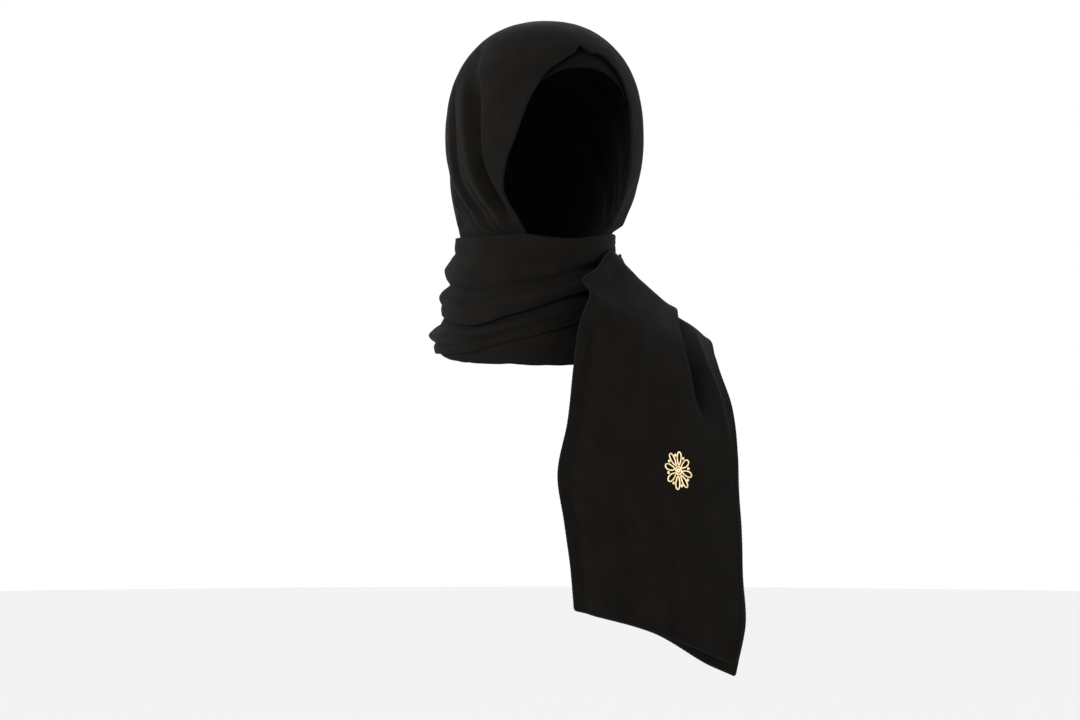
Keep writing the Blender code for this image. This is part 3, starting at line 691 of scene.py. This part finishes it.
def stitch_piece(name, path, facing):
    """Slanted stitches over the roll: capsules with eight sides and five rings, one at every pitch."""
    path, facing = evenly(path, facing, STITCH_PITCH)
    tangent, up, across = path_frame(path, facing)
    swing = np.linspace(-1.15, 1.15, 6)
    turn = np.linspace(0, 2 * np.pi, 6, endpoint=False)
    thin = 0.00022 * np.array([0.35, 0.9, 1, 1, 0.9, 0.35])
    arc = (across[:, None] * (np.sin(swing) * (HEM_WIDTH / 2 + 0.0001))[None, :, None]
           + up[:, None] * (np.cos(swing) * (HEM_THICKNESS / 2 + 0.0001))[None, :, None]
           + tangent[:, None] * (swing * 0.0006)[None, :, None])
    centre = path[:, None] + arc
    ahead = unit(np.gradient(centre, axis=1))
    out = unit(arc - ahead * np.sum(arc * ahead, -1, keepdims=True))
    side = np.cross(ahead, out)
    ring = (out[:, :, None] * np.cos(turn)[None, None, :, None] + side[:, :, None] * np.sin(turn)[None, None, :, None])
    points = centre[:, :, None] + ring * thin[None, :, None, None]
    index = np.arange(36).reshape(6, 6)
    index = np.concatenate([index, index[:, :1]], 1)
    quads = np.stack([index[:-1, :-1], index[1:, :-1], index[1:, 1:], index[:-1, 1:]], -1).reshape(-1, 4)[:, ::-1]
    one = quads.tolist() + [index[0, :-1].tolist()[::-1], index[-1, :-1].tolist()]
    faces = [[corner + 36 * k for corner in face] for k in range(len(path)) for face in one]
    return mesh_piece(name, points, faces)


# %% Hems and stitches of the fall
def border(surface, inner, outer, first, last, corner=0.02):
    """A path down the inner edge, across the hem and up the outer edge, with both corners eased."""
    down = np.linspace(first, last, 400)
    over = np.linspace(inner, outer, 200)[1:-1]
    station = np.concatenate([down, np.full(len(over), last), down[::-1]])
    across = np.concatenate([np.full(len(down), inner), over, np.full(len(down), outer)])
    path, facing = surface(station, across), normals_of(surface, station, across)
    for _ in range(3):
        path[1:-1] = (path[:-2] + 2 * path[1:-1] + path[2:]) / 4
    return path, facing


def hems_of(tag, surface, inner, outer, first, last, wall):
    path, facing = border(surface, inner, outer, first, last)
    path = path - facing * wall / 2
    return hem_piece("hem_" + tag, path, facing), stitch_piece("stitches_" + tag, path, facing)


fall_hem, fall_stitches = hems_of("fall", fall_surface, 0.0, 1.0, FIRST + 0.02, LAST - 0.002, WALL)
behind_hem, behind_stitches = hems_of("behind", behind_surface, UNDER_FROM, 1 + UNDER_PAST_EDGE,
                                      UNDER_START + 0.02, LAST + UNDER_PAST_HEM - 0.002, 0.0009)
print("stitches on the fall:", len(fall_stitches.data.vertices) // 36)

# %% [markdown]
# ## The motif
#
# A small motif in gold thread sits on the fall. It is a rosette of open petals drawn in lines of satin stitch, with
# two rings in the middle and a bead between the petals. Each line is a low cord whose surface is ribbed by its threads, so
# it catches light as stitched thread does.

# %% The motif
MOTIF_STATION, MOTIF_ACROSS = 9.1, 0.645
MOTIF_HALF_WIDTH, MOTIF_HALF_HEIGHT = 0.0145, 0.0180
PETALS = 8
THREAD_PITCH = 0.00042


def on_fall(x, y, out):
    """A point of the motif: x and y in metres from its middle, laid on the fall and moved out from it."""
    station, across = np.array(MOTIF_STATION), np.array(MOTIF_ACROSS)
    middle = fall_flat(station, across)
    down = np.linalg.norm(fall_flat(station + 0.1, across) - middle) / 0.1
    wide = np.linalg.norm(fall_flat(station, across + 0.01) - middle) / 0.01
    station, across = MOTIF_STATION - y / down, MOTIF_ACROSS + x / wide
    facing = normals_of(fall_surface, station, across, 2e-3)
    return fall_surface(station, across) + facing * np.asarray(out)[..., None], facing


def petal_line(number, grow):
    """A petal's outline: a pointed loop x = s(1-s) wide and s long, turned about the middle to its place."""
    s = np.linspace(0, 2 * np.pi, 90, endpoint=False)
    reach = 0.30 + 0.70 * grow * (0.5 - 0.5 * np.cos(s))
    spread = 0.185 * grow * np.sin(s) * (0.55 + 0.45 * (0.5 - 0.5 * np.cos(s)))
    turn = 2 * np.pi * number / PETALS
    x = reach * np.sin(turn) + spread * np.cos(turn)
    y = reach * np.cos(turn) - spread * np.sin(turn)
    return x * MOTIF_HALF_WIDTH, y * MOTIF_HALF_HEIGHT


def ring_line(size, points=120):
    s = np.linspace(0, 2 * np.pi, points, endpoint=False)
    return size * MOTIF_HALF_WIDTH * np.sin(s), size * MOTIF_HALF_HEIGHT * np.cos(s)


def stitched_line(x, y, width, height):
    """A closed line of satin stitch: a low cord on the cloth, its height rippled at the pitch of the thread."""
    closed_x, closed_y = np.append(x, x[0]), np.append(y, y[0])
    run = np.concatenate([[0], np.cumsum(np.hypot(np.diff(closed_x), np.diff(closed_y)))])
    steps = max(24, int(run[-1] / (THREAD_PITCH / 3)))
    at = np.linspace(0, run[-1], steps, endpoint=False)
    x, y = np.interp(at, run, closed_x), np.interp(at, run, closed_y)
    path, facing = on_fall(x, y, np.full(len(x), 0.0002))
    rib = 1 + 0.16 * np.cos(2 * np.pi * at / THREAD_PITCH)
    _, up, across = path_frame(np.concatenate([path[-2:], path, path[:2]]), np.concatenate([facing[-2:], facing, facing[:2]]))
    up, across = up[2:-2], across[2:-2]
    turn = np.linspace(0, 2 * np.pi, 10, endpoint=False)
    ring = (np.cos(turn)[None, :, None] * across[:, None] * width / 2
            + (np.sin(turn)[None, :] * (height * rib)[:, None])[..., None] * up[:, None])
    return path[:, None] + ring, at


def motif_piece():
    """Every stitched line of the rosette in one mesh, each a closed tube."""
    lines = [(*petal_line(number, 1.0), 0.0013, 0.0008) for number in range(PETALS)]
    lines += [(*ring_line(0.21), 0.0013, 0.0008), (*ring_line(0.08), 0.0015, 0.0009)]
    for number in range(PETALS):
        turn = 2 * np.pi * (number + 0.5) / PETALS
        x, y = ring_line(0.045, 24)
        lines.append((x + 0.80 * np.sin(turn) * MOTIF_HALF_WIDTH, y + 0.80 * np.cos(turn) * MOTIF_HALF_HEIGHT, 0.0013, 0.0008))
    all_points, all_faces, all_uv, start = [], [], [], 0
    for x, y, width, height in lines:
        points, at = stitched_line(x, y, width, height)
        count, sides = points.shape[:2]
        index = np.arange(count * sides).reshape(count, sides)
        index = np.concatenate([index, index[:, :1]], 1)
        index = np.concatenate([index, index[:1]], 0) + start
        quads = np.stack([index[:-1, :-1], index[1:, :-1], index[1:, 1:], index[:-1, 1:]], -1).reshape(-1, 4)
        all_points.append(points.reshape(-1, 3))
        all_faces.append(quads)
        all_uv.append(np.stack(np.meshgrid(at, np.linspace(0, 0.003, sides), indexing="ij"), -1).reshape(-1, 2))
        start += count * sides
    return mesh_piece("motif_stitching", np.concatenate(all_points), np.concatenate(all_faces).tolist(), np.concatenate(all_uv))


motif = motif_piece()
print("motif faces:", len(motif.data.polygons))

# %% [markdown]
# ## The weave as a node group
#
# Georgette is a plain weave of hard-twisted threads, which gives a dull, pebbly cloth. Three finishes use the same
# effect, so it is one node group: two crossed sets of thread ridges that wander, a pebble noise over them and a
# broad unevenness. It reads the UV map in metres and puts out a height for the bump, a shade and a roughness. The
# shade is painted shade: it follows the height, lighter on the raised threads and pebbles and darker in the hollows
# between them, and the broad unevenness adds a random tone to it.

# %% The weave group
def add_node(tree, kind, place, **values):
    """A node at a place on the sheet, with its own settings."""
    node = tree.nodes.new(kind)
    node.location = place
    for name, value in values.items():
        setattr(node, name, value)
    return node


def math_node(tree, operation, place, first, second=None, third=None):
    """A Math node whose inputs are numbers or other nodes' outputs."""
    node = add_node(tree, "ShaderNodeMath", place, operation=operation)
    for socket, value in zip(node.inputs, (first, second, third)):
        if isinstance(value, bpy.types.NodeSocket):
            tree.links.new(value, socket)
        elif value is not None:
            socket.default_value = value
    return node.outputs[0]


def weave_group():
    group = bpy.data.node_groups.new("crepe_weave", "ShaderNodeTree")
    face = group.interface
    face.new_socket("Cloth", in_out="INPUT", socket_type="NodeSocketVector")
    for name, value in (("Pitch", 0.0008), ("Wander", 1.0), ("Pebble", 0.5), ("Unevenness", 0.3)):
        face.new_socket(name, in_out="INPUT", socket_type="NodeSocketFloat").default_value = value
    for name in ("Height", "Shade", "Roughness"):
        face.new_socket(name, in_out="OUTPUT", socket_type="NodeSocketFloat")
    start = add_node(group, "NodeGroupInput", (-900, 0))
    end = add_node(group, "NodeGroupOutput", (900, 0))
    cloth, pitch, wander, pebble, unevenness = (start.outputs[k] for k in range(5))

    def noise(place, scale, detail):
        node = add_node(group, "ShaderNodeTexNoise", place)
        node.inputs["Scale"].default_value = scale
        node.inputs["Detail"].default_value = detail
        group.links.new(cloth, node.inputs["Vector"])
        return node.outputs[0]

    fine, pebbles, broad = noise((-700, -200), 420, 1), noise((-700, -420), 950, 2), noise((-700, -640), 38, 3)
    parts = add_node(group, "ShaderNodeSeparateXYZ", (-700, 160))
    group.links.new(cloth, parts.inputs[0])
    sway = math_node(group, "MULTIPLY", (-500, -200), fine, wander)
    sway = math_node(group, "MULTIPLY", (-340, -200), sway, 6.0)
    ridges = []
    for k in range(2):
        turns = math_node(group, "DIVIDE", (-500, 200 - 160 * k), parts.outputs[k], pitch)
        turns = math_node(group, "MULTIPLY_ADD", (-340, 200 - 160 * k), turns, 2 * math.pi, sway)
        ridges.append(math_node(group, "SINE", (-180, 200 - 160 * k), turns))
    crossing = math_node(group, "MULTIPLY", (0, 120), ridges[0], ridges[1])
    threads = math_node(group, "MULTIPLY_ADD", (160, 120), crossing, 0.5, 0.5)
    grain = math_node(group, "MULTIPLY", (0, -300), pebbles, pebble)
    height = math_node(group, "ADD", (340, 60), threads, grain)
    uneven = math_node(group, "MULTIPLY", (160, -500), broad, unevenness)
    # Painted shade: the colour follows the height, lighter on raised threads and pebbles, darker in the hollows; the
    # broad unevenness adds a random tone.
    shade = math_node(group, "MULTIPLY_ADD", (500, -80), height, 0.5, uneven)
    rough = math_node(group, "MULTIPLY_ADD", (500, -260), uneven, -0.35, 0.9)
    for output, value in zip(end.inputs, (height, shade, rough)):
        group.links.new(value, output)
    return group


WEAVE = weave_group()


# %% [markdown]
# ## The finishes
#
# The black cloth is never flat black: the pebbles shade it, and that shade is painted into its colour, lighter on the
# pebbles and darker between them. Its loose fibres give a faint sheen where it turns away. Sheen, being the same all
# over, is set on the shader itself. The gold thread is smoother and has its own ribs, and its colour runs from pale to
# deep gold over the motif, with a painted highlight on each rib.

# %% Cloth finishes
def cloth_finish(name, dark, light, pitch, wander, pebble, unevenness, bump, sheen, sheen_roughness):
    """A woven finish: two tones mixed by the weave's shade, which is painted shade from its height plus a random
    unevenness, with its roughness and its height as a bump.
    """
    made = bpy.data.materials.new(name)
    made.use_nodes = True
    tree = made.node_tree
    shader = tree.nodes["Principled BSDF"]
    shader.inputs["Sheen Weight"].default_value = sheen
    shader.inputs["Sheen Roughness"].default_value = sheen_roughness
    shader.inputs["Specular IOR Level"].default_value = 0.04
    map_node = add_node(tree, "ShaderNodeUVMap", (-900, 0), uv_map="cloth")
    weave = add_node(tree, "ShaderNodeGroup", (-680, 0), node_tree=WEAVE)
    for socket, value in zip(("Pitch", "Wander", "Pebble", "Unevenness"), (pitch, wander, pebble, unevenness)):
        weave.inputs[socket].default_value = value
    tone = add_node(tree, "ShaderNodeValToRGB", (-440, 160))
    tone.color_ramp.elements[0].color = (*dark, 1)
    tone.color_ramp.elements[1].color = (*light, 1)
    tone.color_ramp.elements[0].position, tone.color_ramp.elements[1].position = 0.1, 0.95
    relief = add_node(tree, "ShaderNodeBump", (-300, -260))
    relief.inputs["Distance"].default_value = bump
    relief.inputs["Strength"].default_value = 0.8
    for start, end in (
        (map_node.outputs[0], weave.inputs["Cloth"]), (weave.outputs["Shade"], tone.inputs[0]),
        (tone.outputs[0], shader.inputs["Base Color"]), (weave.outputs["Roughness"], shader.inputs["Roughness"]),
        (weave.outputs["Height"], relief.inputs["Height"]), (relief.outputs[0], shader.inputs["Normal"]),
    ):
        tree.links.new(start, end)
    made.diffuse_color = (*light, 1)
    return made


# The dark and light tones of each woven finish are spread by the weave's painted shade: dark in the hollows of the
# weave, light on its raised threads.
GEORGETTE = cloth_finish("georgette", (0.0007, 0.0006, 0.0005), (0.0058, 0.0052, 0.0045), 0.00105, 1.0, 0.7, 0.45,
                         0.00024, 0.012, 0.35)
# The hem roll's tones are lighter than the georgette's: a painted highlight along the rolled edge.
HEM_ROLL_PAINTED_HIGHLIGHT = cloth_finish("hem_roll_painted_highlight", (0.0016, 0.0015, 0.0014), (0.0085, 0.0079, 0.0070), 0.0008, 0.7, 0.5, 0.3,
                        0.00016, 0.03, 0.35)
JERSEY = cloth_finish("jersey", (0.0008, 0.0008, 0.0009), (0.0040, 0.0041, 0.0043), 0.0007, 0.3, 0.25, 0.2,
                      0.00012, 0.015, 0.4)
STITCH_THREAD = cloth_finish("stitch_thread", (0.0040, 0.0038, 0.0035), (0.0150, 0.0142, 0.0128), 0.0005, 0.2, 0.1, 0.2,
                             0.00004, 0.03, 0.4)


# %% Gold thread
def gold_finish():
    """Satin thread: a pale and a deep gold mixed by a noise, a random tone, and by the ribs along the line, a painted
    highlight on each rib crest; satin and a little metal.
    """
    made = bpy.data.materials.new("gold_satin_thread")
    made.use_nodes = True
    tree = made.node_tree
    shader = tree.nodes["Principled BSDF"]
    shader.inputs["Metallic"].default_value = 0.15
    shader.inputs["Sheen Weight"].default_value = 0.15
    place = add_node(tree, "ShaderNodeTexCoord", (-900, 0))
    map_node = add_node(tree, "ShaderNodeUVMap", (-900, -240), uv_map="cloth")
    broad = add_node(tree, "ShaderNodeTexNoise", (-680, 120))
    broad.inputs["Scale"].default_value = 260
    parts = add_node(tree, "ShaderNodeSeparateXYZ", (-700, -240))
    tree.links.new(map_node.outputs[0], parts.inputs[0])
    ribs = math_node(tree, "MULTIPLY", (-540, -240), parts.outputs[0], 2 * math.pi / THREAD_PITCH)
    ribs = math_node(tree, "COSINE", (-380, -240), ribs)
    # Painted highlight: the ribs that shape the bump also make the gold paler on each rib crest and deeper between
    # them; the noise adds a random tone.
    mixed = math_node(tree, "MULTIPLY_ADD", (-380, 60), ribs, 0.16, broad.outputs[0])
    tone = add_node(tree, "ShaderNodeValToRGB", (-220, 120))
    tone.color_ramp.elements[0].color, tone.color_ramp.elements[1].color = (0.74, 0.50, 0.20, 1), (1.0, 0.86, 0.55, 1)
    tone.color_ramp.elements[0].position, tone.color_ramp.elements[1].position = 0.28, 0.66
    rough = math_node(tree, "MULTIPLY_ADD", (-220, -120), broad.outputs[0], 0.2, 0.34)
    relief = add_node(tree, "ShaderNodeBump", (-200, -320))
    relief.inputs["Distance"].default_value = 0.00006
    for start, end in (
        (place.outputs["Object"], broad.inputs["Vector"]), (mixed, tone.inputs[0]),
        (tone.outputs[0], shader.inputs["Base Color"]), (rough, shader.inputs["Roughness"]),
        (ribs, relief.inputs["Height"]), (relief.outputs[0], shader.inputs["Normal"]),
    ):
        tree.links.new(start, end)
    return made


GOLD = gold_finish()

# %% [markdown]
# ## Fitting the pieces to the frame
#
# Each fine piece rides on the one body and stands for the solid that it covers.
# Sheets are declared with the size that their cloth was cut to.

# %% Riding and replacing
def fit(piece, finish, node=None):
    """Gives a piece its finish and has it ride on the body in the place of a solid."""
    piece.data.materials.clear()
    piece.data.materials.append(finish)
    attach(piece, "root")
    if node:
        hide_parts(node)


for piece, node in ((hood, "hood"), (upper_turn, "throat_turn_upper"), (lower_turn, "throat_turn_lower"),
                    (under_turn, "throat_turn_under"), (fall, "tail_front"), (behind, "tail_under")):
    fit(piece, GEORGETTE, node)
for piece in (fall_hem, behind_hem):
    fit(piece, HEM_ROLL_PAINTED_HIGHLIGHT)
for piece in (fall_stitches, behind_stitches):
    fit(piece, STITCH_THREAD)
fit(cap, JERSEY, "inner_cap")
fit(motif, GOLD, "emblem")

# %% [markdown]
# ## Floor, light and camera
#
# Black cloth only shows its form through soft, wide light, so the room is bright all round, with a large lamp from
# the front and one on either side to edge the folds. The camera stands level, three metres away.

# %% Stage and camera
FLOOR_Z = -1.62
floor = mesh_piece("floor", *[
    (np.concatenate([[[0, 0, FLOOR_Z]], np.stack([14 * np.cos(t), 14 * np.sin(t), np.full(64, FLOOR_Z)], -1)]),
     [(0, 1 + k, 1 + (k + 1) % 64) for k in range(64)])
    for t in (np.linspace(0, 2 * np.pi, 64, endpoint=False),)
][0])
pale = bpy.data.materials.new("pale_floor")
pale.use_nodes = True
pale.node_tree.nodes["Principled BSDF"].inputs["Base Color"].default_value = (0.88, 0.88, 0.88, 1)
pale.node_tree.nodes["Principled BSDF"].inputs["Roughness"].default_value = 0.8
floor.data.materials.append(pale)

world = bpy.data.worlds.new("bright_room")
world.use_nodes = True
world.node_tree.nodes["Background"].inputs["Color"].default_value = (1, 1, 1, 1)
world.node_tree.nodes["Background"].inputs["Strength"].default_value = 1.0
bpy.context.scene.world = world
bpy.context.scene.view_settings.view_transform = "Standard"

TARGET = np.array([-0.005, 0.0, -0.336])


def aim(thing, place):
    """Puts a lamp or camera at a place and turns it to the target, by building its axes from the view direction."""
    back = unit(np.asarray(place, float) - TARGET)
    right = unit(np.cross([0, 0, 1], back))
    up = np.cross(back, right)
    axes = np.stack([right, up, back, place], 1)
    thing.matrix_world = mathutils.Matrix(axes.tolist() + [(0, 0, 0, 1)])


# name, place, watts, size
LAMP_ROWS = (
    ("lamp_front", (-1.5, -2.3, 0.35), 80, 0.8),
    ("lamp_left", (-2.4, 0.5, 0.2), 20, 0.9),
    ("lamp_right", (2.3, 0.7, 0.2), 24, 0.9),
    ("lamp_back", (0.2, 2.4, 1.0), 20, 1.0),
)
for name, place, watts, size in LAMP_ROWS:
    lamp = bpy.data.lights.new(name, "AREA")
    lamp.energy, lamp.size = watts, size
    thing = bpy.data.objects.new(name, lamp)
    bpy.context.scene.collection.objects.link(thing)
    aim(thing, place)

lens = bpy.data.cameras.new("camera")
lens.sensor_width = 36
lens.lens = 100
camera = bpy.data.objects.new("camera", lens)
bpy.context.scene.collection.objects.link(camera)
aim(camera, (-0.005, -3.0, -0.336))
bpy.context.scene.camera = camera
